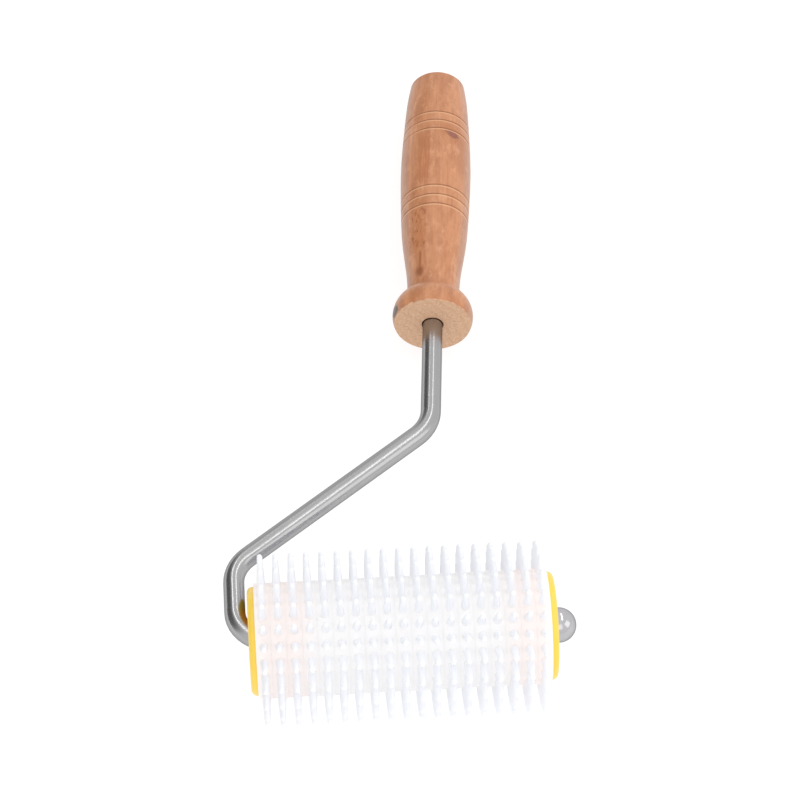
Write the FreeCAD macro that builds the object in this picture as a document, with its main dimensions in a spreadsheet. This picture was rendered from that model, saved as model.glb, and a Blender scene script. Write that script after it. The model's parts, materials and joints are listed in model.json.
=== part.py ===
import FreeCAD, Part
import math
import os

import Sketcher
from FreeCAD import Placement, Rotation, Vector

# Spiked roller on a one-armed bent rod with a turned wooden handle.
# The tool lies on a surface: the roller stands on its spikes and the handle's belly touches the surface.
# X runs along the roller's axle towards the dome nut, Y from the roller to the handle, Z up.
# The origin is the middle of the bounding box, on the surface.

doc = FreeCAD.newDocument("spiked_roller")
sheet = doc.addObject("Spreadsheet::Sheet", "dims")

DIMENSIONS = [
    # how the tool lies
    ("origin_along_axle", -0.44),      # bounding box middle, from the middle of the roller
    ("origin_to_handle", 125.81),
    ("frame_slope", 4.131),            # degrees that the rod and handle fall towards the butt
    ("roller_phase", 7.5),             # degrees from a spike that points straight down
    # rod
    ("rod_dia", 8.0),
    ("leg_offset", 62.1),
    ("leg_straight", 13.6),
    ("axle_free_end", 59.6),
    ("axle_bend", 13.5),
    ("elbow_bend", 15.3),
    ("neck_bend", 17.8),
    ("diagonal_angle", 38.7),
    ("diagonal_straight", 86.6),
    ("neck_lean", 4.8),
    ("neck_straight", 44.6),
    ("tang_depth", 62.0),
    # roller
    ("ring_count", 19),
    ("ring_pitch", 5.75),
    ("ring_dia", 43.0),
    ("ring_bore", 34.0),
    ("ring_edge", 0.12),
    ("spike_count", 24),
    ("spike_circle_dia", 64.8),
    ("spike_root_dia", 3.3),
    ("spike_tip_dia", 2.0),
    ("spike_foot_sunk", 1.2),
    # end caps and core
    ("cap_dia", 40.6),
    ("cap_flange", 2.55),
    ("cap_rounding", 2.2),
    ("cap_mouth_dia", 29.0),
    ("cap_recess_dia", 25.0),
    ("cap_recess", 9.0),
    ("cap_web", 3.0),
    ("cap_boss_dia", 16.0),
    ("cap_boss", 9.0),
    ("cap_bore", 8.1),
    ("cap_skirt_end", 25.8),
    ("cap_inner_dia", 28.0),
    ("cap_spigot_dia", 30.8),
    ("cap_spigot", 5.0),
    # fasteners
    ("washer_dia", 16.0),
    ("washer_bore", 8.4),
    ("washer_thick", 1.6),
    ("washer_gap", 0.3),
    ("nut_flats", 14.0),
    ("nut_corners", 15.9),
    ("nut_chamfer", 0.7),
    ("nut_hex", 6.5),
    ("nut_dome_dia", 13.3),
    ("nut_dome_centre", 8.5),
    ("nut_bore_depth", 11.0),
    ("nut_turn", 10.0),
    # handle
    ("handle_length", 134.1),
    ("face_rad", 15.3),
    ("flare_rad", 16.2),
    ("flare_at", 4.0),
    ("shoulder_rad", 15.4),
    ("shoulder_at", 8.2),
    ("crease_rad", 10.75),
    ("crease_at", 13.6),
    ("waist_rad", 10.6),
    ("waist_at", 20.0),
    ("swell_rad", 12.8),
    ("swell_at", 40.5),
    ("palm_rad", 14.1),
    ("palm_at", 62.5),
    ("belly_rad", 14.5),
    ("belly_at", 84.0),
    ("taper_rad", 13.55),
    ("taper_at", 107.0),
    ("rump_rad", 12.8),
    ("rump_at", 119.0),
    ("butt_rad", 11.4),
    ("butt_at", 130.3),
    ("crown_rad", 8.4),
    ("crown_at", 133.15),
    ("mouth_dia", 8.8),
    ("mouth_depth", 1.6),
    ("scribe_depth", 0.45),
    ("scribe_half_width", 0.5),
    ("scribe_spacing", 4.95),
    ("front_scribe_at", 53.8),
    ("rear_scribe_at", 95.8),
    ("scribes_per_group", 3),
]
for row, (alias, amount) in enumerate(DIMENSIONS, start=1):
    sheet.set("A%d" % row, alias)
    sheet.set("B%d" % row, repr(amount))
    sheet.setAlias("B%d" % row, alias)
doc.recompute()


def dim(alias):
    return float(sheet.get(alias))


# A length is written as a mix of sheet dimensions: {"ring_dia": 0.5, "ring_edge": -1} is half of
# ring_dia less ring_edge. An empty mix is zero.
def value(mix):
    return sum(factor * dim(alias) for alias, factor in mix.items())


def formula(mix, sign=1):
    return " + ".join("%g * dims.%s" % (sign * factor, alias) for alias, factor in mix.items())


def new_body(label):
    body = doc.addObject("PartDesign::Body", label)
    body.Label = label
    return body


def new_sketch(body, name, role):
    """A sketch on one of the body's own origin planes."""
    sketch = body.newObject("Sketcher::SketchObject", name)
    plane = next(item for item in body.Origin.OriginFeatures if item.Role == role)
    sketch.AttachmentSupport = [(plane, "")]
    sketch.MapMode = "FlatFace"
    return sketch


def constrain(sketch, *items, bound_to=None):
    index = sketch.addConstraint(Sketcher.Constraint(*items))
    if bound_to:
        sketch.setExpression("Constraints[%d]" % index, bound_to)


def pin_point(sketch, geometry, end, x_mix, y_mix):
    """Holds one end of a line or curve at signed distances from the sketch's origin."""
    for kind, axis, mix in (("DistanceX", -2, x_mix), ("DistanceY", -1, y_mix)):
        if not mix:
            constrain(sketch, "PointOnObject", geometry, end, axis)
        elif value(mix) > 0:
            constrain(sketch, kind, -1, 1, geometry, end, value(mix), bound_to=formula(mix))
        else:
            constrain(sketch, kind, geometry, end, -1, 1, -value(mix), bound_to=formula(mix, -1))


def closed_outline(sketch, corners):
    """A closed polygon through corners given as pairs of mixes."""
    points = [Vector(value(x), value(y), 0) for x, y in corners]
    count = len(points)
    for index in range(count):
        sketch.addGeometry(Part.LineSegment(points[index], points[(index + 1) % count]), False)
    for index in range(count):
        constrain(sketch, "Coincident", index, 2, (index + 1) % count, 1)
    for index, (x_mix, y_mix) in enumerate(corners):
        pin_point(sketch, index, 1, x_mix, y_mix)


def circle_at_origin(sketch, alias):
    sketch.addGeometry(Part.Circle(Vector(), Vector(0, 0, 1), dim(alias) / 2), False)
    constrain(sketch, "Coincident", 0, 3, -1, 1)
    constrain(sketch, "Diameter", 0, dim(alias), bound_to="dims." + alias)


def revolve(body, name, sketch, axis, cut=False):
    kind = "PartDesign::Groove" if cut else "PartDesign::Revolution"
    feature = body.newObject(kind, name)
    feature.Profile = sketch
    feature.ReferenceAxis = (sketch, [axis])
    feature.Angle = 360.0
    return feature


def round_rim(body, name, radius_alias, rim_dia):
    """Fillets the circle of the given diameter that lies at the body's own x = 0."""
    doc.recompute()
    base = body.Tip
    for number, edge in enumerate(base.Shape.Edges, start=1):
        rim = edge.Curve
        if not isinstance(rim, Part.Circle):
            continue
        if abs(rim.Center.x) < 0.01 and abs(rim.Radius - rim_dia / 2) < 0.01:
            break
    else:
        raise RuntimeError("%s has no rim to round" % body.Label)
    fillet = body.newObject("PartDesign::Fillet", name)
    fillet.Base = (base, ["Edge%d" % number])
    fillet.setExpression("Radius", "dims." + radius_alias)
    return fillet


def must_shrink(body, before, what):
    doc.recompute()
    after = body.Shape.Volume
    if not after < before - 0.01:
        raise RuntimeError("%s removed nothing" % what)


# ---------------------------------------------------------------- placements
spike_tip_rad = dim("spike_tip_dia") / 2
spike_tip_centre = dim("spike_circle_dia") / 2 - spike_tip_rad
axle_height = spike_tip_centre * math.cos(math.radians(dim("roller_phase"))) + spike_tip_rad
roller_middle = Vector(-dim("origin_along_axle"), -dim("origin_to_handle"), axle_height)
roller_half = dim("ring_count") * dim("ring_pitch") / 2 + dim("cap_flange")
hub_face = roller_half - dim("cap_recess")
nut_base = hub_face + dim("washer_gap") + dim("washer_thick")

frame_place = Placement(roller_middle, Rotation(Vector(1, 0, 0), -dim("frame_slope")))

# one spike of each row starts along the ring's +Y, so a quarter turn less the phase stands the
# roller on the two rows beside straight down
roller_turn = Rotation(Vector(1, 0, 0), -90.0 + dim("roller_phase"))


def on_roller(along, turn=roller_turn):
    return Placement(roller_middle + Vector(along, 0, 0), turn)


# ---------------------------------------------------------------- bent rod
# The route lies in the body's XY plane: axle on X, tight bend, leg, elbow, diagonal, bend, neck, tang.
rod = new_body("frame_rod")
route = new_sketch(rod, "rod_route", "XY_Plane")


def heading(degrees):
    return Vector(math.cos(math.radians(degrees)), math.sin(math.radians(degrees)), 0)


def route_arc(start, direction_in, direction_out, radius):
    """A clockwise bend from start, and where it ends."""
    centre = start + heading(direction_in - 90) * radius
    end = centre + heading(direction_out + 90) * radius
    middle = centre + heading((direction_in + direction_out) / 2 + 90) * radius
    return Part.Arc(start, middle, end), end


LEG, ALONG_AXLE = 90.0, 180.0
diagonal, neck = dim("diagonal_angle"), 90.0 - dim("neck_lean")
axle_start = Vector(dim("axle_free_end"), 0, 0)
axle_end = Vector(-dim("leg_offset") + dim("axle_bend"), 0, 0)
bend_a, leg_start = route_arc(axle_end, ALONG_AXLE, LEG, dim("axle_bend"))
leg_end = leg_start + heading(LEG) * dim("leg_straight")
bend_b, diagonal_start = route_arc(leg_end, LEG, diagonal, dim("elbow_bend"))
diagonal_end = diagonal_start + heading(diagonal) * dim("diagonal_straight")
neck_centre = diagonal_end + heading(diagonal + 90) * dim("neck_bend")
neck_start = neck_centre + heading(neck - 90) * dim("neck_bend")
neck_middle = neck_centre + heading((diagonal + neck) / 2 - 90) * dim("neck_bend")
handle_face = neck_start + heading(neck) * dim("neck_straight")
tang_end = handle_face + heading(neck) * dim("tang_depth")

for curve in (
    Part.LineSegment(axle_start, axle_end),
    bend_a,
    Part.LineSegment(leg_start, leg_end),
    bend_b,
    Part.LineSegment(diagonal_start, diagonal_end),
    Part.Arc(diagonal_end, neck_middle, neck_start),
    Part.LineSegment(neck_start, tang_end),
):
    route.addGeometry(curve, False)
AXLE, BEND_A, LEG_LINE, BEND_B, DIAGONAL, BEND_C, NECK = range(7)


def end_near(index, point):
    """1 for the start and 2 for the end of a route curve, whichever lies at the point."""
    return min((1, 2), key=lambda end: (route.getPoint(index, end) - point).Length)


for first, second, joint in (
    (AXLE, BEND_A, axle_end), (BEND_A, LEG_LINE, leg_start), (LEG_LINE, BEND_B, leg_end),
    (BEND_B, DIAGONAL, diagonal_start), (DIAGONAL, BEND_C, diagonal_end), (BEND_C, NECK, neck_start),
):
    constrain(route, "Tangent", first, end_near(first, joint), second, end_near(second, joint))
pin_point(route, AXLE, 1, {"axle_free_end": 1}, {})
constrain(route, "Horizontal", AXLE)
constrain(route, "Vertical", LEG_LINE)
constrain(route, "DistanceX", LEG_LINE, 1, -1, 1, dim("leg_offset"), bound_to="dims.leg_offset")
for index, alias in ((BEND_A, "axle_bend"), (BEND_B, "elbow_bend"), (BEND_C, "neck_bend")):
    constrain(route, "Radius", index, dim(alias), bound_to="dims." + alias)
for index, alias in ((LEG_LINE, "leg_straight"), (DIAGONAL, "diagonal_straight")):
    constrain(route, "Distance", index, dim(alias), bound_to="dims." + alias)
constrain(route, "Distance", NECK, dim("neck_straight") + dim("tang_depth"),
          bound_to="dims.neck_straight + dims.tang_depth")
constrain(route, "Angle", -1, 1, DIAGONAL, 1, math.radians(diagonal), bound_to="dims.diagonal_angle * 1 deg")
constrain(route, "Angle", -1, 1, NECK, 1, math.radians(neck), bound_to="90 deg - dims.neck_lean * 1 deg")

section = new_sketch(rod, "rod_section", "YZ_Plane")
section.setExpression("AttachmentOffset.Base.z", "dims.axle_free_end")
circle_at_origin(section, "rod_dia")
sweep = rod.newObject("PartDesign::AdditivePipe", "rod_sweep")
sweep.Profile = section
sweep.Spine = route
rod.Placement = frame_place

# ---------------------------------------------------------------- handle
# Turned about the body's own Z, from the flat face at z = 0 to the butt.
handle = new_body("handle")
outline = new_sketch(handle, "handle_outline", "XZ_Plane")


def stations(*names):
    return [Vector(dim(name + "_rad"), dim(name + "_at"), 0) for name in names]


face_edge = Vector(dim("face_rad"), 0, 0)
butt_middle = Vector(0, dim("handle_length"), 0)
flare_points = [face_edge] + stations("flare", "shoulder", "crease")
side_points = stations("crease", "waist", "swell", "palm", "belly", "taper", "rump", "butt")
butt_points = stations("butt", "crown") + [butt_middle]
for points in (flare_points, side_points, butt_points):
    spline = Part.BSplineCurve()
    spline.interpolate(points)
    outline.addGeometry(spline, False)
    if points is side_points:
        side_curve = spline
outline.addGeometry(Part.LineSegment(butt_middle, Vector()), False)
outline.addGeometry(Part.LineSegment(Vector(), face_edge), False)
FLARE, SIDE, BUTT, AXIS_LINE, FACE_LINE = range(5)
for first in range(5):
    constrain(outline, "Coincident", first, 2, (first + 1) % 5, 1)
pin_point(outline, FACE_LINE, 1, {}, {})
pin_point(outline, FLARE, 1, {"face_rad": 1}, {})
pin_point(outline, SIDE, 1, {"crease_rad": 1}, {"crease_at": 1})
pin_point(outline, BUTT, 1, {"butt_rad": 1}, {"butt_at": 1})
pin_point(outline, AXIS_LINE, 1, {}, {"handle_length": 1})
revolve(handle, "handle_turning", outline, "V_Axis")
doc.recompute()
volume = handle.Shape.Volume

bore = new_sketch(handle, "handle_bore", "XZ_Plane")
closed_outline(bore, [
    ({}, {}),
    ({"mouth_dia": 0.5}, {}),
    ({"mouth_dia": 0.5}, {"mouth_depth": 1}),
    ({"rod_dia": 0.5}, {"mouth_depth": 1}),
    ({"rod_dia": 0.5}, {"tang_depth": 1}),
    ({}, {"tang_depth": 1}),
])
revolve(handle, "handle_boring", bore, "V_Axis", cut=True)
must_shrink(handle, volume, "the handle's bore")

for group in ("front", "rear"):
    for step in range(int(dim("scribes_per_group"))):
        volume = handle.Shape.Volume
        at = value({group + "_scribe_at": 1, "scribe_spacing": step})
        surface = side_curve.value(side_curve.parameter(Vector(dim("belly_rad"), at, 0))).x
        groove = new_sketch(handle, "%s_scribe_%d" % (group, step + 1), "XZ_Plane")
        deepest = Vector(surface - dim("scribe_depth"), at, 0)
        above = Vector(surface + dim("scribe_depth"), at + 2 * dim("scribe_half_width"), 0)
        below = Vector(surface + dim("scribe_depth"), at - 2 * dim("scribe_half_width"), 0)
        for start, end in ((deepest, above), (above, below), (below, deepest)):
            groove.addGeometry(Part.LineSegment(start, end), False)
        for index in range(3):
            constrain(groove, "Coincident", index, 2, (index + 1) % 3, 1)
        constrain(groove, "DistanceX", -1, 1, 0, 1, deepest.x)
        constrain(groove, "Vertical", 1)
        constrain(groove, "DistanceX", 0, 1, 0, 2, 2 * dim("scribe_depth"), bound_to="2 * dims.scribe_depth")
        constrain(groove, "DistanceY", 0, 1, 0, 2, 2 * dim("scribe_half_width"),
                  bound_to="2 * dims.scribe_half_width")
        constrain(groove, "DistanceY", 2, 1, 2, 2, 2 * dim("scribe_half_width"),
                  bound_to="2 * dims.scribe_half_width")
        constrain(groove, "DistanceY", -1, 1, 0, 1, at,
                  bound_to="dims.%s_scribe_at + %d * dims.scribe_spacing" % (group, step))
        revolve(handle, "%s_scribing_%d" % (group, step + 1), groove, "V_Axis", cut=True)
        must_shrink(handle, volume, "a scribed groove")

along_handle = Rotation(Vector(0, 0, 1), heading(neck))
handle.Placement = frame_place.multiply(Placement(handle_face, along_handle))

# ---------------------------------------------------------------- spike rings
# Each ring is turned about the body's own X, with one spike along Y copied round it.
ring_labels = []
for number in range(1, int(dim("ring_count")) + 1):
    label = "spike_ring_%02d" % number
    ring_labels.append(label)
    ring = new_body(label)
    band = new_sketch(ring, label + "_band", "XY_Plane")
    closed_outline(band, [
        ({"ring_pitch": -0.5}, {"ring_bore": 0.5}),
        ({"ring_pitch": 0.5}, {"ring_bore": 0.5}),
        ({"ring_pitch": 0.5}, {"ring_dia": 0.5, "ring_edge": -1}),
        ({"ring_pitch": 0.5, "ring_edge": -1}, {"ring_dia": 0.5}),
        ({"ring_pitch": -0.5, "ring_edge": 1}, {"ring_dia": 0.5}),
        ({"ring_pitch": -0.5}, {"ring_dia": 0.5, "ring_edge": -1}),
    ])
    revolve(ring, label + "_turning", band, "H_Axis")

    spike = new_sketch(ring, label + "_spike_half", "XY_Plane")
    foot = value({"ring_dia": 0.5, "spike_foot_sunk": -1})
    tip_middle = Vector(0, spike_tip_centre, 0)
    root = Vector(dim("spike_root_dia") / 2, foot, 0)
    shoulder = tip_middle + Vector(spike_tip_rad, 0, 0)
    top = tip_middle + Vector(0, spike_tip_rad, 0)
    rounding = Part.ArcOfCircle(Part.Circle(tip_middle, Vector(0, 0, 1), spike_tip_rad), 0, math.pi / 2)
    for curve in (Part.LineSegment(Vector(0, foot, 0), root), Part.LineSegment(root, shoulder), rounding,
                  Part.LineSegment(top, Vector(0, foot, 0))):
        spike.addGeometry(curve, False)
    for first, first_end, second, second_end in ((0, 2, 1, 1), (1, 2, 2, 1), (2, 2, 3, 1), (3, 2, 0, 1)):
        constrain(spike, "Coincident", first, first_end, second, second_end)
    pin_point(spike, 0, 1, {}, {"ring_dia": 0.5, "spike_foot_sunk": -1})
    pin_point(spike, 0, 2, {"spike_root_dia": 0.5}, {"ring_dia": 0.5, "spike_foot_sunk": -1})
    constrain(spike, "PointOnObject", 2, 3, -2)
    constrain(spike, "Radius", 2, spike_tip_rad, bound_to="dims.spike_tip_dia / 2")
    pin_point(spike, 3, 1, {}, {"spike_circle_dia": 0.5})
    constrain(spike, "Horizontal", 2, 3, 2, 1)
    one_spike = revolve(ring, label + "_spike", spike, "V_Axis")
    doc.recompute()
    row_of_spikes = ring.newObject("PartDesign::PolarPattern", label + "_row")
    row_of_spikes.Originals = [one_spike]
    row_of_spikes.Axis = (band, ["H_Axis"])
    row_of_spikes.Angle = 360.0
    row_of_spikes.setExpression("Occurrences", "dims.spike_count")
    ring.Tip = row_of_spikes
    ring.Placement = on_roller((number - (dim("ring_count") + 1) / 2) * dim("ring_pitch"))

# ---------------------------------------------------------------- end caps
# The section starts at the outer face, x = 0, and runs inward along the body's own X.
CAP_CORNERS = [
    ({}, {"cap_mouth_dia": 0.5}),
    ({}, {"cap_dia": 0.5}),
    ({"cap_flange": 1}, {"cap_dia": 0.5}),
    ({"cap_flange": 1}, {"ring_bore": 0.5}),
    ({"cap_skirt_end": 1}, {"ring_bore": 0.5}),
    ({"cap_skirt_end": 1}, {"cap_spigot_dia": 0.5}),
    ({"cap_skirt_end": 1, "cap_spigot": 1}, {"cap_spigot_dia": 0.5}),
    ({"cap_skirt_end": 1, "cap_spigot": 1}, {"cap_inner_dia": 0.5}),
    ({"cap_recess": 1, "cap_web": 1}, {"cap_inner_dia": 0.5}),
    ({"cap_recess": 1, "cap_web": 1}, {"cap_boss_dia": 0.5}),
    ({"cap_recess": 1, "cap_boss": 1}, {"cap_boss_dia": 0.5}),
    ({"cap_recess": 1, "cap_boss": 1}, {"cap_bore": 0.5}),
    ({"cap_recess": 1}, {"cap_bore": 0.5}),
    ({"cap_recess": 1}, {"cap_recess_dia": 0.5}),
]
turned_about = roller_turn.multiply(Rotation(Vector(0, 1, 0), 180))
for label, along, turn in (
    ("end_cap_bend", -roller_half, roller_turn),
    ("end_cap_nut", roller_half, turned_about),
):
    cap = new_body(label)
    cap_section = new_sketch(cap, label + "_section", "XY_Plane")
    closed_outline(cap_section, CAP_CORNERS)
    revolve(cap, label + "_turning", cap_section, "H_Axis")
    doc.recompute()
    volume = cap.Shape.Volume
    round_rim(cap, label + "_rounding", "cap_rounding", dim("cap_dia"))
    must_shrink(cap, volume, "the cap's rounding")
    cap.Placement = on_roller(along, turn)

# ---------------------------------------------------------------- core tube
core_half = roller_half - dim("cap_skirt_end")
core_outer = doc.addObject("Part::Cylinder", "core_outer")
core_outer.setExpression("Radius", "dims.ring_bore / 2")
core_inner = doc.addObject("Part::Cylinder", "core_inner")
core_inner.setExpression("Radius", "dims.cap_spigot_dia / 2")
for tube in (core_outer, core_inner):
    tube.setExpression(
        "Height", "dims.ring_count * dims.ring_pitch + 2 * (dims.cap_flange - dims.cap_skirt_end)")
core = doc.addObject("Part::Cut", "core_tube")
core.Label = "core_tube"
core.Base, core.Tool = core_outer, core_inner
upright_to_axle = Rotation(Vector(0, 0, 1), Vector(1, 0, 0))
core.Placement = on_roller(-core_half, upright_to_axle)

# ---------------------------------------------------------------- washers
washer_pieces = []
for name, along in (("bend_washer", -hub_face - dim("washer_gap") - dim("washer_thick")),
                    ("nut_washer", hub_face + dim("washer_gap"))):
    disc = doc.addObject("Part::Cylinder", name + "_disc")
    disc.setExpression("Radius", "dims.washer_dia / 2")
    hole = doc.addObject("Part::Cylinder", name + "_hole")
    hole.setExpression("Radius", "dims.washer_bore / 2")
    for piece in (disc, hole):
        piece.setExpression("Height", "dims.washer_thick")
    washer = doc.addObject("Part::Cut", name)
    washer.Base, washer.Tool = disc, hole
    washer.Placement = Placement(Vector(along, 0, 0), upright_to_axle)
    washer_pieces.append(washer)
washers = doc.addObject("Part::Compound", "flat_washers")
washers.Label = "flat_washers"
washers.Links = washer_pieces
washers.Placement = Placement(roller_middle, Rotation())

# ---------------------------------------------------------------- dome nut
# Turned about the body's own X from the seating face at x = 0, then cut to a hexagon.
nut = new_body("dome_nut")
blank = new_sketch(nut, "nut_blank", "XY_Plane")
dome_rad = dim("nut_dome_dia") / 2
closed_outline(blank, [
    ({}, {}),
    ({"nut_dome_centre": 1}, {}),
    ({"nut_dome_centre": 1}, {"nut_dome_dia": 0.5}),
    ({"nut_hex": 1}, {"nut_dome_dia": 0.5}),
    ({"nut_hex": 1, "nut_chamfer": -0.6}, {"nut_corners": 0.5}),
    ({"nut_chamfer": 0.6}, {"nut_corners": 0.5}),
    ({}, {"nut_corners": 0.5, "nut_chamfer": -1}),
])
revolve(nut, "nut_turning", blank, "H_Axis")
dome = new_sketch(nut, "nut_dome", "XY_Plane")
centre = Vector(dim("nut_dome_centre"), 0, 0)
dome.addGeometry(Part.ArcOfCircle(Part.Circle(centre, Vector(0, 0, 1), dome_rad), 0, math.pi / 2), False)
dome.addGeometry(Part.LineSegment(centre + Vector(0, dome_rad, 0), centre), False)
dome.addGeometry(Part.LineSegment(centre, centre + Vector(dome_rad, 0, 0)), False)
constrain(dome, "Coincident", 0, 2, 1, 1)
constrain(dome, "Coincident", 1, 2, 2, 1)
constrain(dome, "Coincident", 2, 2, 0, 1)
constrain(dome, "Coincident", 0, 3, 1, 2)
constrain(dome, "Vertical", 1)
constrain(dome, "Radius", 0, dome_rad, bound_to="dims.nut_dome_dia / 2")
pin_point(dome, 2, 1, {"nut_dome_centre": 1}, {})
constrain(dome, "Horizontal", 2)
revolve(nut, "nut_doming", dome, "H_Axis")
doc.recompute()
volume = nut.Shape.Volume

flats = new_sketch(nut, "nut_flats_cut", "YZ_Plane")
across_corners = dim("nut_flats") / math.cos(math.radians(30))
corners = [heading(60 * step) * (across_corners / 2) for step in range(6)]
for index in range(6):
    flats.addGeometry(Part.LineSegment(corners[index], corners[(index + 1) % 6]), False)
for index in range(6):
    constrain(flats, "Coincident", index, 2, (index + 1) % 6, 1)
flats.addGeometry(Part.Circle(Vector(), Vector(0, 0, 1), across_corners / 2), True)
GUIDE_CIRCLE = 6
constrain(flats, "Coincident", GUIDE_CIRCLE, 3, -1, 1)
for index in range(6):
    constrain(flats, "PointOnObject", index, 1, GUIDE_CIRCLE)
for index in range(5):
    constrain(flats, "Equal", index, index + 1)
constrain(flats, "PointOnObject", 0, 1, -1)
constrain(flats, "Diameter", GUIDE_CIRCLE, across_corners, bound_to="dims.nut_flats / cos(30 deg)")
flats.addGeometry(Part.Circle(Vector(), Vector(0, 0, 1), dim("nut_flats")), False)
constrain(flats, "Coincident", 7, 3, -1, 1)
constrain(flats, "Radius", 7, dim("nut_flats"), bound_to="dims.nut_flats")
hexing = nut.newObject("PartDesign::Pocket", "nut_hexing")
hexing.Profile = flats
hexing.Reversed = True
hexing.setExpression("Length", "dims.nut_hex")
must_shrink(nut, volume, "the nut's flats")
volume = nut.Shape.Volume
nut_hole = new_sketch(nut, "nut_hole", "YZ_Plane")
circle_at_origin(nut_hole, "rod_dia")
boring = nut.newObject("PartDesign::Pocket", "nut_boring")
boring.Profile = nut_hole
boring.Reversed = True
boring.setExpression("Length", "dims.nut_bore_depth")
must_shrink(nut, volume, "the nut's bore")
nut.Placement = on_roller(nut_base, Rotation(Vector(1, 0, 0), dim("nut_turn")))

# ---------------------------------------------------------------- checks and files
doc.recompute()
failed = [item.Name for item in doc.Objects if {"Invalid", "Error"} & set(item.State)]
if failed:
    raise RuntimeError("objects failed: " + ", ".join(failed))

pieces = [rod, handle] + [doc.getObject(label) for label in ring_labels]
pieces += [doc.getObject("end_cap_bend"), doc.getObject("end_cap_nut"), core, washers, nut]
os.makedirs("parts", exist_ok=True)
low, high = Vector(1e9, 1e9, 1e9), Vector(-1e9, -1e9, -1e9)
for piece in pieces:
    shape = piece.Shape
    if shape.isNull() or not shape.isValid() or shape.Volume <= 0:
        raise RuntimeError("%s has no valid solid" % piece.Label)
    box = shape.BoundBox
    low = Vector(min(low.x, box.XMin), min(low.y, box.YMin), min(low.z, box.ZMin))
    high = Vector(max(high.x, box.XMax), max(high.y, box.YMax), max(high.z, box.ZMax))
    print("%-16s %2d solid %9.1f mm3  x %.1f %.1f  y %.1f %.1f  z %.2f %.2f" % (
        piece.Label, len(shape.Solids), shape.Volume,
        box.XMin, box.XMax, box.YMin, box.YMax, box.ZMin, box.ZMax))
    shape.exportStep(os.path.join("parts", piece.Label + ".step"))
print("whole tool: x %.2f %.2f  y %.2f %.2f  z %.2f %.2f" % (low.x, high.x, low.y, high.y, low.z, high.z))
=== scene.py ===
import json
import math

import bpy
from mathutils import Matrix, Vector

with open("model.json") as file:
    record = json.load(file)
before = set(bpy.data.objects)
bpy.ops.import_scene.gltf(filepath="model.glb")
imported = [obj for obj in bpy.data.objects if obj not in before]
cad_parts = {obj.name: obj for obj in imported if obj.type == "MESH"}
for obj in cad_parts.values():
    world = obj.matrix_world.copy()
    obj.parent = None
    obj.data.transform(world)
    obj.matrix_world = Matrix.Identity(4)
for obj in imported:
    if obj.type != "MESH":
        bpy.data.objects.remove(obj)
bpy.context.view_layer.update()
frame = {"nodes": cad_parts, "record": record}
MM = 0.001

# ---------------------------------------------------------------- where things are
joint = next(j for j in frame["record"]["behaviour"]["joints"] if j["name"] == "roller_spin")
AXLE = Vector(joint["pos_m"])
AXLE_LINE = Vector((1, 0, 0))
grip = next(m for m in frame["record"]["mounts"] if m["name"] == "handle_grip")
HANDLE_AXIS = Vector(grip["axis"]).normalized()
GRIP_ALONG = 84 * MM                      # the grip mount's distance from the handle's flat face
HANDLE_FACE = Vector(grip["pos_m"]) - HANDLE_AXIS * GRIP_ALONG
ACROSS = HANDLE_AXIS.cross(Vector((0, 0, 1))).normalized()
UPWARD = ACROSS.cross(HANDLE_AXIS).normalized()
FRAME_FORWARD = (HANDLE_AXIS - AXLE_LINE * HANDLE_AXIS.x).normalized()
FRAME_UP = AXLE_LINE.cross(FRAME_FORWARD)
RINGS = sorted(name for name in frame["nodes"] if name.startswith("spike_ring"))


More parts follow.
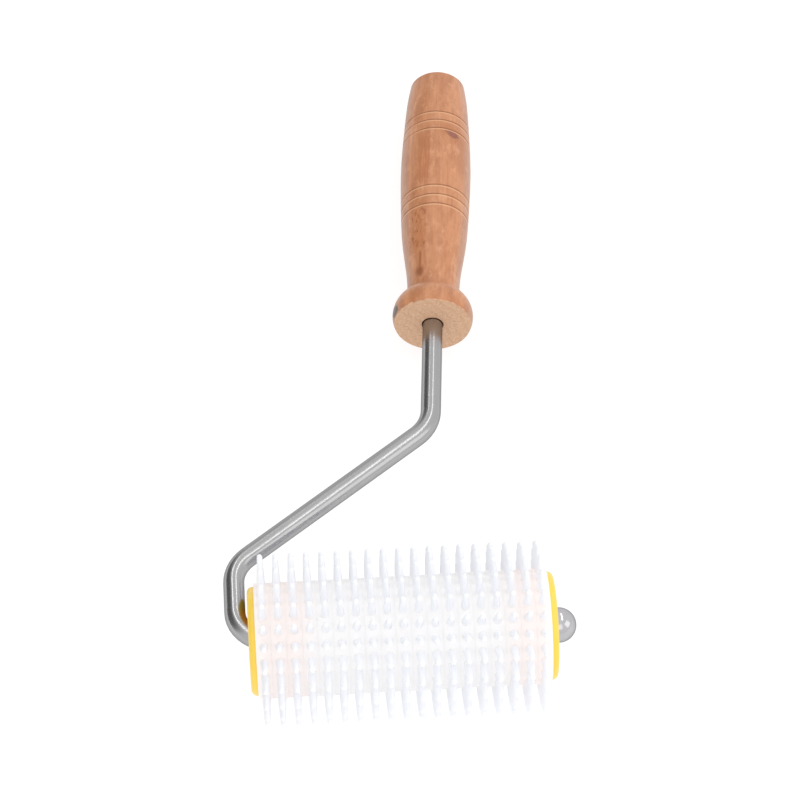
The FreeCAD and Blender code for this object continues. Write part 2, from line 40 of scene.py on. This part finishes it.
# ---------------------------------------------------------------- node helpers
class Shader:
    """A material's node tree, with short calls for common nodes. Places and sizes are in mm."""

    def __init__(self, name):
        self.material = bpy.data.materials.new(name)
        self.material.use_nodes = True
        self.tree = self.material.node_tree
        self.surface = self.tree.nodes["Principled BSDF"]
        self.point = self.node("ShaderNodeTexCoord").outputs["Object"]

    def node(self, kind, **settings):
        made = self.tree.nodes.new(kind)
        for key, setting in settings.items():
            setattr(made, key, setting)
        return made

    def put(self, socket, source):
        """Links a socket, or sets its plain value."""
        if isinstance(source, bpy.types.NodeSocket):
            self.tree.links.new(source, socket)
        else:
            socket.default_value = source

    def set(self, **values):
        for key, amount in values.items():
            self.put(self.surface.inputs[key.replace("_", " ")], amount)

    def math(self, operation, first, second=0.0):
        made = self.node("ShaderNodeMath", operation=operation)
        for socket, source in zip(made.inputs, (first, second)):
            self.put(socket, source)
        return made.outputs[0]

    def add(self, first, second):
        return self.math("ADD", first, second)

    def less(self, first, second):
        return self.math("SUBTRACT", first, second)

    def times(self, first, second):
        return self.math("MULTIPLY", first, second)

    def ratio(self, first, second):
        return self.math("DIVIDE", first, second)

    def distance(self, origin, axis):
        """Distance in mm of the shaded point from an origin, along an axis."""
        made = self.node("ShaderNodeVectorMath", operation="DOT_PRODUCT")
        self.put(made.inputs[0], self.point)
        made.inputs[1].default_value = axis / MM
        return self.less(made.outputs["Value"], origin.dot(axis) / MM)

    def hypot(self, first, second):
        return self.math("SQRT", self.add(self.times(first, first), self.times(second, second)))

    def from_axle(self):
        """Distance from the roller's axle."""
        return self.hypot(self.distance(AXLE, Vector((0, 1, 0))), self.distance(AXLE, Vector((0, 0, 1))))

    def combine(self, x, y, z):
        made = self.node("ShaderNodeCombineXYZ")
        for socket, source in zip(made.inputs, (x, y, z)):
            self.put(socket, source)
        return made.outputs[0]

    def noise(self, vector, scale, detail=3.0, roughness=0.5):
        made = self.node("ShaderNodeTexNoise")
        self.put(made.inputs["Vector"], vector)
        self.put(made.inputs["Scale"], scale)
        self.put(made.inputs["Detail"], detail)
        self.put(made.inputs["Roughness"], roughness)
        return made.outputs["Fac"]

    def speckle(self, cycles_per_mm, detail=3.0):
        """Noise of the given fineness, the same in every direction."""
        return self.noise(self.point, cycles_per_mm / MM, detail)

    def roughen(self, source, noise, amount):
        """Moves a value up and down by a noise."""
        return self.add(source, self.times(self.add(noise, -0.5), amount))

    def span(self, source, low, high, to_low=0.0, to_high=1.0, kind="SMOOTHSTEP"):
        """Takes low to to_low and high to to_high, and keeps what is outside at those ends."""
        made = self.node("ShaderNodeMapRange", interpolation_type=kind)
        self.put(made.inputs["Value"], source)
        limits = {"From Min": low, "From Max": high, "To Min": to_low, "To Max": to_high}
        for key, amount in limits.items():
            self.put(made.inputs[key], amount)
        return made.outputs[0]

    def even(self, source, to_low, to_high):
        """Spreads a noise over a range of values."""
        return self.span(source, 0.3, 0.7, to_low, to_high, "LINEAR")

    def line(self, source, middle, half_width, soft):
        """One within half_width of a middle, falling to zero over soft."""
        off = self.math("ABSOLUTE", self.add(source, -middle))
        return self.span(off, half_width, half_width + soft, 1.0, 0.0)

    def mix(self, factor, first, second):
        made = self.node("ShaderNodeMix", data_type="RGBA")
        for key, source in (("Factor", factor), (6, first), (7, second)):
            self.put(made.inputs[key], source)
        return made.outputs[2]

    def bump(self, height, strength, depth):
        made = self.node("ShaderNodeBump")
        self.put(made.inputs["Strength"], strength)
        self.put(made.inputs["Distance"], depth * MM)
        self.put(made.inputs["Height"], height)
        return made.outputs[0]


def rgb(red, green, blue):
    return (red, green, blue, 1.0)


def paint(material, *nodes):
    for name in nodes:
        mesh = frame["nodes"][name].data
        mesh.materials.clear()
        mesh.materials.append(material)


# ---------------------------------------------------------------- plastics
RING_RADIUS = 21.5
SPIKE_FOOT = (RING_RADIUS + 1.6, RING_RADIUS + 0.1)    # mm from the axle: only spike, only ring
LEFT_PAINTED_GLOW, RIGHT_PAINTED_GLOW = (-26.0, -38.0), (28.0, 44.0)   # mm along the axle: no painted glow, full painted glow
PAINTED_GLOW_WANDER, PAINTED_GLOW_STRENGTH = 6.0, 0.34
HUB_PAINTED_SHADE = (17.0, 11.0)                                     # mm from the axle: no painted shade, full painted shade round the hub


def white_plastic():
    """Milky moulded plastic with a faint painted glow; a painted warm glow on the first rings at each end
    stands in for the yellow caps' light showing through.
    """
    s = Shader("white_plastic")
    along = s.distance(AXLE, AXLE_LINE)
    on_ring = s.span(s.from_axle(), *SPIKE_FOOT)
    mottled = s.speckle(0.09)
    wander = s.times(mottled, PAINTED_GLOW_WANDER)
    left_painted_glow = s.span(s.add(along, wander), *LEFT_PAINTED_GLOW)
    right_painted_glow = s.span(s.less(along, wander), *RIGHT_PAINTED_GLOW)
    # painted warm glow near both ends, standing in for the caps' light shining through the rings
    painted_glow = s.times(s.times(s.math("MAXIMUM", left_painted_glow, right_painted_glow), on_ring), PAINTED_GLOW_STRENGTH)
    milk = s.mix(s.speckle(0.35), rgb(0.93, 0.915, 0.91), rgb(0.96, 0.95, 0.945))
    body = s.mix(on_ring, rgb(0.89, 0.90, 0.93), milk)
    s.set(Base_Color=s.mix(painted_glow, body, rgb(1.0, 0.80, 0.72)), Roughness=s.even(mottled, 0.50, 0.62))
    s.set(Specular_IOR_Level=0.10, IOR=1.49)
    s.set(Subsurface_Weight=0.2, Subsurface_Radius=(1.0, 0.97, 0.95), Subsurface_Scale=1.5 * MM)
    # painted glow: a faint emission, bluish on the spikes and warm on the rings, standing in for light
    # passing through the plastic
    s.set(Emission_Color=s.mix(on_ring, rgb(0.88, 0.93, 1.0), rgb(1.0, 0.97, 0.96)))
    s.set(Emission_Strength=0.035, Normal=s.bump(s.speckle(0.4, 2.0), 0.05, 0.1))
    return s.material


def yellow_plastic():
    """Yellow caps; round their hubs a deep orange painted shade of the shadowed recess, with a painted
    orange glow.
    """
    s = Shader("yellow_plastic")
    cloud = s.speckle(0.12)
    hub_painted_shade = s.span(s.from_axle(), *HUB_PAINTED_SHADE)
    rim = s.mix(cloud, rgb(0.97, 0.64, 0.07), rgb(0.99, 0.71, 0.10))
    # painted shade and painted glow round the hub, where the recess lies in shadow
    s.set(Base_Color=s.mix(hub_painted_shade, rim, rgb(0.90, 0.38, 0.02)))
    s.set(Emission_Color=s.mix(hub_painted_shade, rgb(0.0, 0.0, 0.0), rgb(1.0, 0.24, 0.0)), Emission_Strength=0.22)
    s.set(Roughness=s.even(cloud, 0.32, 0.45), IOR=1.5)
    s.set(Subsurface_Weight=0.15, Subsurface_Radius=(1.0, 0.6, 0.1), Subsurface_Scale=1.5 * MM)
    s.set(Normal=s.bump(s.speckle(0.9, 2.0), 0.12, 0.1))
    return s.material


# ---------------------------------------------------------------- metals
AXLE_BEND, LEG_BEND, NECK_BEND = (0.0, 13.5), (27.0, 39.0), (93.0, 105.0)   # mm ahead of the axle
AXLE_HEADING, LEG_HEADING = 180.0, 90.0   # degrees in the frame's plane
LEG_TURN, NECK_TURN = -51.3, 46.5


def rod_heading(s, ahead):
    """Cosine and sine of the rod's heading: back along the axle, up the leg, diagonal, neck."""
    heading = s.add(s.span(ahead, *AXLE_BEND, AXLE_HEADING, LEG_HEADING),
                    s.span(ahead, *LEG_BEND, 0.0, LEG_TURN))
    heading = s.math("RADIANS", s.add(heading, s.span(ahead, *NECK_BEND, 0.0, NECK_TURN)))
    return s.math("COSINE", heading), s.math("SINE", heading)


def drawn_steel():
    """Bent bright rod, polished round its girth, so its highlights are drawn out along it."""
    s = Shader("drawn_steel")
    aside = s.distance(AXLE, AXLE_LINE)
    ahead = s.distance(AXLE, FRAME_FORWARD)
    above = s.distance(AXLE, FRAME_UP)
    cosine, sine = rod_heading(s, ahead)
    along = s.add(s.times(aside, cosine), s.times(ahead, sine))
    beside = s.less(s.times(ahead, cosine), s.times(aside, sine))
    run = s.combine(cosine, s.times(sine, FRAME_FORWARD.y), s.times(sine, FRAME_FORWARD.z))
    girth_marks = s.noise(s.combine(along, s.times(beside, 0.12), s.times(above, 0.12)), 4.0, 3.0, 0.6)
    draw_lines = s.noise(s.combine(s.times(along, 0.02), beside, above), 3.0, 3.0, 0.6)
    tone = s.mix(s.speckle(0.06, 4.0), rgb(0.385, 0.38, 0.385), rgb(0.445, 0.44, 0.44))
    tone = s.mix(s.span(draw_lines, 0.55, 0.75, 0.0, 0.25), tone, rgb(0.30, 0.29, 0.29))
    s.set(Metallic=1.0, Base_Color=tone, Specular_Tint=rgb(0.45, 0.45, 0.46))
    s.set(Roughness=s.even(girth_marks, 0.16, 0.27), Anisotropic=0.55, Tangent=run)
    s.set(Normal=s.bump(s.add(girth_marks, draw_lines), 0.03, 0.02))
    return s.material


def zinc_plate():
    s = Shader("zinc_plate")
    spangle = s.speckle(0.8, 4.0)
    s.set(Metallic=1.0, Base_Color=s.mix(spangle, rgb(0.46, 0.47, 0.49), rgb(0.62, 0.62, 0.63)))
    s.set(Roughness=s.even(spangle, 0.28, 0.45), Normal=s.bump(spangle, 0.05, 0.05))
    return s.material


def polished_nut():
    s = Shader("polished_nut")
    cloud = s.speckle(0.3)
    s.set(Metallic=1.0, Base_Color=s.mix(cloud, rgb(0.47, 0.46, 0.475), rgb(0.58, 0.57, 0.585)))
    s.set(Specular_Tint=rgb(0.42, 0.42, 0.44), Roughness=s.even(cloud, 0.09, 0.17))
    s.set(Normal=s.bump(s.speckle(0.9, 2.0), 0.04, 0.05))
    return s.material


# ---------------------------------------------------------------- wood
# Marks are placed along the handle from its flat face, aside from its axis and up from it, in mm.
PITH_ASIDE, PITH_BELOW = 26.0, 18.0       # from the handle's axis to the middle of the tree
YEAR_RING = 3.4
KNOT_ALONG, KNOT_ASIDE = 93.5, 6.7
KNOT_HALF_WIDTH, KNOT_HALF_LENGTH = 2.2, 3.3
KNOT_LEAN_COS, KNOT_LEAN_SIN = 0.80, 0.60
STAIN_ALONG, STAIN_ASIDE = 20.5, -5.6
STAIN_HALF_LENGTH, STAIN_HALF_WIDTH, TAIL_HALF_WIDTH = 3.4, 2.0, 0.9
TAIL_OFFSET = 6.0                         # from the stain's middle to its tail's
PATCH_ALONG, PATCH_ASIDE = 43.0, -4.6
REDNESS_ALONG, REDNESS_ASIDE = 78.0, -2.4
FRONT_SCRIBES, REAR_SCRIBES, SCRIBE_SPACING = 53.8, 95.8, 4.95
LIP_OFFSET = -0.75                        # from a scribed line to its painted highlight on the lip
BARK_ALONG, BARK_UP = 2.4, 4.8
BARK_HALF_LENGTH, BARK_HALF_HEIGHT = 2.0, 3.4

WOOD_LIGHT, WOOD_LATE = rgb(0.585, 0.255, 0.120), rgb(0.485, 0.195, 0.085)
WOOD_DARK, WOOD_PALE = rgb(0.445, 0.175, 0.075), rgb(0.68, 0.335, 0.175)
FIBRE_BROWN, DASH_BROWN = rgb(0.41, 0.150, 0.060), rgb(0.33, 0.105, 0.045)
SIDE_PAINTED_SHADE = rgb(0.37, 0.225, 0.165)
STAIN_BROWN = rgb(0.27, 0.080, 0.028)
PATCH_RED, FLECK_RED, LINE_RED = rgb(0.46, 0.165, 0.060), rgb(0.30, 0.090, 0.030), rgb(0.46, 0.14, 0.05)
HALO_BROWN, KNOT_DARK, KNOT_RED = rgb(0.42, 0.145, 0.05), rgb(0.17, 0.045, 0.028), rgb(0.34, 0.115, 0.075)
LIP_PAINTED_HIGHLIGHT, SCRIBE_BROWN = rgb(0.78, 0.44, 0.24), rgb(0.26, 0.095, 0.035)
BARK_GREY = rgb(0.085, 0.07, 0.06)
FACE_LIGHT, FACE_LATE = rgb(0.64, 0.39, 0.24), rgb(0.53, 0.29, 0.165)
FACE_TORN, FACE_PITS = rgb(0.78, 0.56, 0.40), rgb(0.42, 0.21, 0.11)


class HandleShader(Shader):
    """A shader with the handle's own directions, its top side and its finest grain."""

    def __init__(self, name):
        super().__init__(name)
        self.along = self.distance(HANDLE_FACE, HANDLE_AXIS)
        self.aside = self.distance(HANDLE_FACE, ACROSS)
        self.upward = self.distance(HANDLE_FACE, UPWARD)
        self.on_top = self.span(self.upward, 0.0, 2.0)
        self.ragged = self.speckle(0.8)
        self.fibre = self.grain(0.05, 0.9, 4.0, 0.65)
        soft_grain = self.combine(self.times(self.aside, 0.6), self.times(self.upward, 0.6),
                                  self.times(self.along, 0.10))
        self.wander = self.noise(soft_grain, 0.06, 3.0)

    def grain(self, shrink, scale, detail, roughness=0.5):
        """Noise drawn out along the grain; a smaller shrink makes longer streaks."""
        place = self.combine(self.aside, self.upward, self.times(self.along, shrink))
        return self.noise(place, scale, detail, roughness)

    def mark(self, wood, mask, strength, colour):
        """Colours the wood where a mask is, on the handle's top side only."""
        return self.mix(self.times(self.times(mask, self.on_top), strength), wood, colour)


def knot_masks(s):
    """A knot that leans across the grain, and the halo round it."""
    back, side = s.add(s.along, -KNOT_ALONG), s.add(s.aside, -KNOT_ASIDE)
    short = s.ratio(s.add(s.times(back, KNOT_LEAN_COS), s.times(side, KNOT_LEAN_SIN)), KNOT_HALF_WIDTH)
    long = s.ratio(s.less(s.times(side, KNOT_LEAN_COS), s.times(back, KNOT_LEAN_SIN)), KNOT_HALF_LENGTH)
    off = s.roughen(s.hypot(short, long), s.ragged, 0.9)
    return s.times(s.span(off, 1.05, 0.65), s.on_top), s.times(s.span(off, 3.4, 0.9), s.on_top)


def year_rings(s, halo):
    """Place within a year's growth, from 0 to 1; the rings are pushed aside round the knot."""
    out = s.hypot(s.add(s.aside, PITH_ASIDE), s.add(s.upward, PITH_BELOW))
    out = s.add(s.add(out, s.times(s.wander, 9.0)), s.times(halo, 2.2))
    return s.math("FRACT", s.ratio(out, YEAR_RING))


def plain_wood(s, year):
    """Year rings, dark and pale clouds, fibres, painted shade on the sides and short dark dashes."""
    cloud = s.grain(0.45, 0.17, 4.0, 0.65)
    pale = s.noise(s.combine(s.upward, s.aside, s.times(s.along, 0.6)), 0.28, 4.0, 0.7)
    wood = s.mix(s.span(year, 0.35, 1.0, 0.0, 0.45), WOOD_LIGHT, WOOD_LATE)
    wood = s.mix(s.span(cloud, 0.42, 0.64, 0.0, 0.75), wood, WOOD_DARK)
    wood = s.mix(s.span(pale, 0.50, 0.66, 0.0, 0.60), wood, WOOD_PALE)
    wood = s.mix(s.span(s.fibre, 0.40, 0.72, 0.0, 0.40), wood, FIBRE_BROWN)
    # painted shade: the handle's sides darker and greyer, as where less light falls on them
    sideways = s.ratio(s.math("ABSOLUTE", s.aside), s.hypot(s.aside, s.upward))
    wood = s.mix(s.span(sideways, 0.72, 1.0, 0.0, 0.45), wood, SIDE_PAINTED_SHADE)
    dashes = s.grain(0.16, 1.7, 2.0)
    return s.mix(s.span(dashes, 0.64, 0.74, 0.0, 0.35), wood, DASH_BROWN)


def stained(s, wood):
    """An oval stain with a thin tail behind it."""
    beside = s.add(s.aside, -STAIN_ASIDE)
    oval = s.hypot(s.ratio(s.add(s.along, -STAIN_ALONG), STAIN_HALF_LENGTH),
                   s.ratio(beside, STAIN_HALF_WIDTH))
    oval = s.span(s.roughen(oval, s.fibre, 0.9), 1.25, 0.3)
    tail = s.ratio(s.math("ABSOLUTE", beside), TAIL_HALF_WIDTH)
    tail = s.span(s.add(tail, s.times(s.fibre, 1.2)), 1.7, 0.5)
    tail = s.times(s.times(tail, s.line(s.along, STAIN_ALONG + TAIL_OFFSET, 3.0, 2.0)), 0.8)
    return s.mark(wood, s.math("MAXIMUM", oval, tail), 0.85, STAIN_BROWN)


def reddened(s, wood):
    """A patch of reddish flecks, and a few faint red lines behind it."""
    streak_at = s.add(s.aside, s.times(s.wander, 4.0))
    patch = s.times(s.line(streak_at, PATCH_ASIDE, 2.2, 2.2), s.line(s.along, PATCH_ALONG, 7.5, 6.0))
    flecks = s.times(s.span(s.grain(0.5, 0.75, 4.0, 0.7), 0.53, 0.64), patch)
    wood = s.mark(wood, patch, 0.35, PATCH_RED)
    wood = s.mark(wood, flecks, 0.75, FLECK_RED)
    lines = s.times(s.line(streak_at, REDNESS_ASIDE, 1.3, 1.4), s.line(s.along, REDNESS_ALONG, 12.0, 6.0))
    return s.mark(wood, s.times(lines, s.span(s.fibre, 0.42, 0.60)), 0.55, LINE_RED)


def scribed(s, wood, first, fades):
    """Three lines, dark at the bottom, each with a painted highlight on its lip; a group that fades runs
    out on one side.
    """
    steps = s.add(s.ratio(s.add(s.along, -first), SCRIBE_SPACING), 0.5)
    nearest = s.times(s.add(s.math("FRACT", steps), -0.5), SCRIBE_SPACING)
    group = s.line(s.along, first + SCRIBE_SPACING, 1.4 * SCRIBE_SPACING, 0.1)
    if fades:
        group = s.times(group, s.span(s.times(s.aside, s.on_top), -10.5, -6.0, 0.25, 1.0))
    # painted highlight: a pale line on each groove's lip
    lip_highlight = s.times(s.line(nearest, LIP_OFFSET, 0.20, 0.45), group)
    bottom = s.times(s.line(nearest, 0.0, 0.14, 0.24), group)
    wood = s.mix(s.times(lip_highlight, 0.60), wood, LIP_PAINTED_HIGHLIGHT)
    return s.mix(s.times(bottom, 0.70), wood, SCRIBE_BROWN)


def barked(s, wood):
    """A scar of bark on the left of the flare."""
    off = s.hypot(s.ratio(s.add(s.along, -BARK_ALONG), BARK_HALF_LENGTH),
                  s.ratio(s.add(s.upward, -BARK_UP), BARK_HALF_HEIGHT))
    off = s.roughen(off, s.ragged, 1.0)
    bark = s.times(s.span(off, 1.15, 0.75), s.span(s.aside, -11.0, -13.0))
    return s.mix(s.times(bark, 0.9), wood, BARK_GREY)


def end_grain(s, year, saw):
    """The sawn front face: pale, with torn fibres and pits."""
    face = s.mix(s.span(year, 0.3, 1.0, 0.0, 0.35), FACE_LIGHT, FACE_LATE)
    face = s.mix(s.span(saw, 0.50, 0.64, 0.0, 0.5), face, FACE_TORN)
    return s.mix(s.span(saw, 0.46, 0.34, 0.0, 0.5), face, FACE_PITS)


def varnished_wood():
    """Turned handle: plain figure with a knot, a stain and a bark scar, and a rough sawn front face."""
    s = HandleShader("varnished_wood")
    knot, halo = knot_masks(s)
    year = year_rings(s, halo)
    wood = plain_wood(s, year)
    wood = stained(s, wood)
    wood = reddened(s, wood)
    wood = s.mix(s.times(halo, 0.55), wood, HALO_BROWN)
    wood = s.mix(s.times(knot, 0.92), wood, s.mix(s.ragged, KNOT_DARK, KNOT_RED))
    wood = scribed(s, wood, FRONT_SCRIBES, False)
    wood = scribed(s, wood, REAR_SCRIBES, True)
    wood = barked(s, wood)
    saw = s.noise(s.combine(s.aside, s.upward, s.along), 1.1, 4.0, 0.7)
    on_face = s.span(s.roughen(s.along, s.ragged, 1.4), 0.45, 0.25)
    s.set(Base_Color=s.mix(on_face, wood, end_grain(s, year, saw)))
    s.set(IOR=1.45, Coat_Weight=0.15, Coat_Roughness=0.3)
    s.set(Roughness=s.add(s.even(s.fibre, 0.34, 0.48), s.times(on_face, 0.35)))
    relief = s.add(s.times(s.fibre, 0.5), s.times(s.times(saw, on_face), 2.5))
    s.set(Normal=s.bump(relief, 0.35, 0.25))
    return s.material


paint(white_plastic(), *RINGS, "core_tube")
paint(yellow_plastic(), "end_cap_bend", "end_cap_nut")
paint(drawn_steel(), "frame_rod")
paint(zinc_plate(), "flat_washers")
paint(polished_nut(), "dome_nut")
paint(varnished_wood(), "handle")

# ---------------------------------------------------------------- floor
FLOOR_SIZE, FLOOR_GAP = 8.0, 0.05 * MM
FLOOR_GLOW = 0.82                         # the floor gives light itself, so shadows stay faint


def lit_floor():
    s = Shader("pale_floor")
    s.set(Base_Color=s.mix(s.speckle(0.004, 2.0), rgb(0.24, 0.24, 0.24), rgb(0.26, 0.26, 0.26)))
    s.set(Roughness=1.0, Specular_IOR_Level=0.0)
    s.set(Emission_Color=rgb(1.0, 1.0, 1.0), Emission_Strength=FLOOR_GLOW)
    return s.material


bpy.ops.mesh.primitive_plane_add(size=FLOOR_SIZE, location=(0, 0, -FLOOR_GAP))
floor = bpy.context.object
floor.name = "floor"
floor.data.materials.append(lit_floor())

# ---------------------------------------------------------------- light
ROOM_LEVEL = 1.0
DARK_CORNER = Vector((-0.80, 0.50, 0.28)).normalized()
DARK_DEPTH = 0.82
DARK_EDGE, DARK_MIDDLE = 0.64, 0.95       # cosines of the angle from the corner's middle
STRIP_WIDTH, STRIP_LENGTH, STRIP_POWER = 0.09, 0.9, 0.75


def studio_world():
    """An even white room with a dark corner at the back left."""
    world = bpy.data.worlds.new("studio")
    bpy.context.scene.world = world
    world.use_nodes = True
    tree = world.node_tree
    direction = tree.nodes.new("ShaderNodeTexCoord").outputs["Generated"]
    nearness = tree.nodes.new("ShaderNodeVectorMath")
    nearness.operation = "DOT_PRODUCT"
    tree.links.new(direction, nearness.inputs[0])
    nearness.inputs[1].default_value = DARK_CORNER
    level = tree.nodes.new("ShaderNodeMapRange")
    level.interpolation_type = "SMOOTHSTEP"
    tree.links.new(nearness.outputs["Value"], level.inputs["Value"])
    for key, amount in (("From Min", DARK_EDGE), ("From Max", DARK_MIDDLE),
                        ("To Min", ROOM_LEVEL), ("To Max", ROOM_LEVEL * (1 - DARK_DEPTH))):
        level.inputs[key].default_value = amount
    tree.links.new(level.outputs[0], tree.nodes["Background"].inputs["Strength"])
    tree.nodes["Background"].inputs["Color"].default_value = (1.0, 1.0, 1.0, 1.0)


def softbox(name, position, target, width, height, power):
    light = bpy.data.lights.new(name, "AREA")
    light.shape, light.size, light.size_y, light.energy = "RECTANGLE", width, height, power
    box = bpy.data.objects.new(name, light)
    bpy.context.scene.collection.objects.link(box)
    box.location = position
    box.rotation_euler = (Vector(target) - Vector(position)).to_track_quat("-Z", "Y").to_euler()


def strip(name, x, y, z):
    """A long narrow light that hangs level and shines straight down."""
    softbox(name, (x, y, z), (x, y, 0), STRIP_WIDTH, STRIP_LENGTH, STRIP_POWER)


studio_world()
softbox("front", (0.0, -1.6, 1.5), (0, 0, 0), 1.6, 1.2, 3.0)
softbox("right", (1.2, -0.45, 0.75), (0, 0, 0), 0.8, 0.8, 1.3)
strip("strip_left", -0.27, 0.32, 0.75)
strip("strip_right", 0.33, 0.32, 0.75)

# ---------------------------------------------------------------- camera
SENSOR = 36.0
FOCAL = 4.25 * SENSOR
ELEVATION, HEADING, ROLL = math.radians(55.065), math.radians(3.514), math.radians(0.058)
DISTANCE = 1.368777
AIM = AXLE + Vector((7.105, 128.187, -31.635)) * MM
level_look = Vector((math.sin(HEADING), math.cos(HEADING), 0))
look = level_look * math.cos(ELEVATION) - Vector((0, 0, math.sin(ELEVATION)))
level_right = Vector((math.cos(HEADING), -math.sin(HEADING), 0))
level_up = level_right.cross(look)
right = level_right * math.cos(ROLL) - level_up * math.sin(ROLL)
up = level_up * math.cos(ROLL) + level_right * math.sin(ROLL)
camera_data = bpy.data.cameras.new("camera")
camera_data.sensor_width, camera_data.lens = SENSOR, FOCAL
camera_data.clip_start, camera_data.clip_end = 0.01, 20.0
camera = bpy.data.objects.new("camera", camera_data)
bpy.context.scene.collection.objects.link(camera)
turned = Matrix((right, up, -look)).transposed().to_4x4()
camera.matrix_world = Matrix.Translation(AIM - look * DISTANCE) @ turned
bpy.context.scene.camera = camera
bpy.context.scene.view_settings.view_transform = "Standard"
